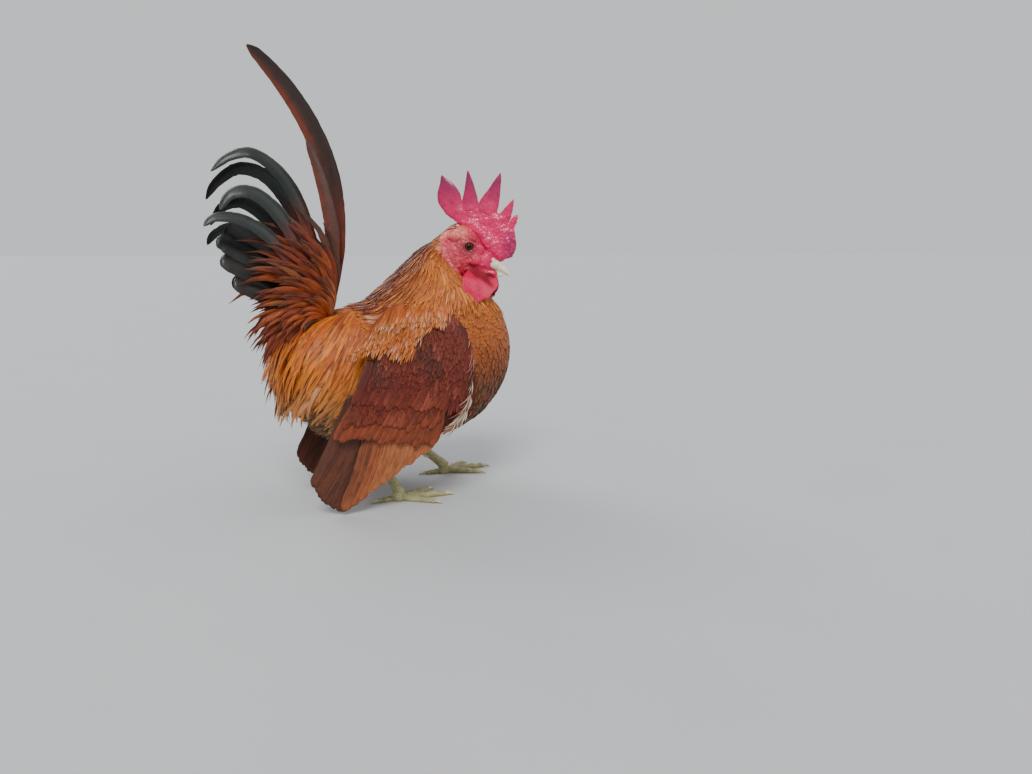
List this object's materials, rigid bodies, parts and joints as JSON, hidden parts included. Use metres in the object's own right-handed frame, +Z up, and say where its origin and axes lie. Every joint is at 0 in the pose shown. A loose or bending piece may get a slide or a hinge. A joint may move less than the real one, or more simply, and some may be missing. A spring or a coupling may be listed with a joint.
{
  "type": "bantam chicken",
  "caption": "Standing bantam cock with a high sickle tail, lowered wings, an upright comb and its head turned to its right.",
  "frame": {"origin": "on the floor under the middle of the bird's box", "axes": "+X the way the body faces, +Y the bird's left, +Z up; the head is turned to the bird's right"},
  "size_m": [0.2282, 0.1212, 0.332],
  "materials": {
    "feather_brown": "soft body feathers, stood in for by fabric",
    "feather_orange": "glossy orange hackle and saddle feathers, stood in for by fabric",
    "feather_red": "glossy mahogany wing feathers, stood in for by fabric",
    "feather_black": "black tail feathers with a green sheen, stood in for by fabric",
    "comb_red": "grained red skin, stood in for by rubber",
    "lobe_pink": "smooth pale pink skin, stood in for by rubber",
    "beak_horn": "pale horn, stood in for by plastic",
    "eye_amber": "wet dark eye, stood in for by plastic",
    "leg_olive": "scaled skin, stood in for by leather"
  },
  "bodies": {
    "root": {"torso": "feather_brown", "neck": "feather_orange", "saddle": "feather_orange", "head": "comb_red", "comb": "comb_red", "wattle_right": "comb_red", "wattle_left": "comb_red", "ear_lobe_right": "lobe_pink", "ear_lobe_left": "lobe_pink", "eye_right": "eye_amber", "eye_left": "eye_amber", "beak_upper": "beak_horn", "beak_lower": "beak_horn", "wing_right": "feather_red", "wing_left": "feather_red", "tail": "feather_black", "drumstick_right": "feather_brown", "drumstick_left": "feather_brown", "shank_right": "leg_olive", "shank_left": "leg_olive", "foot_right": "leg_olive", "foot_left": "leg_olive"}
  },
  "joints": []
}
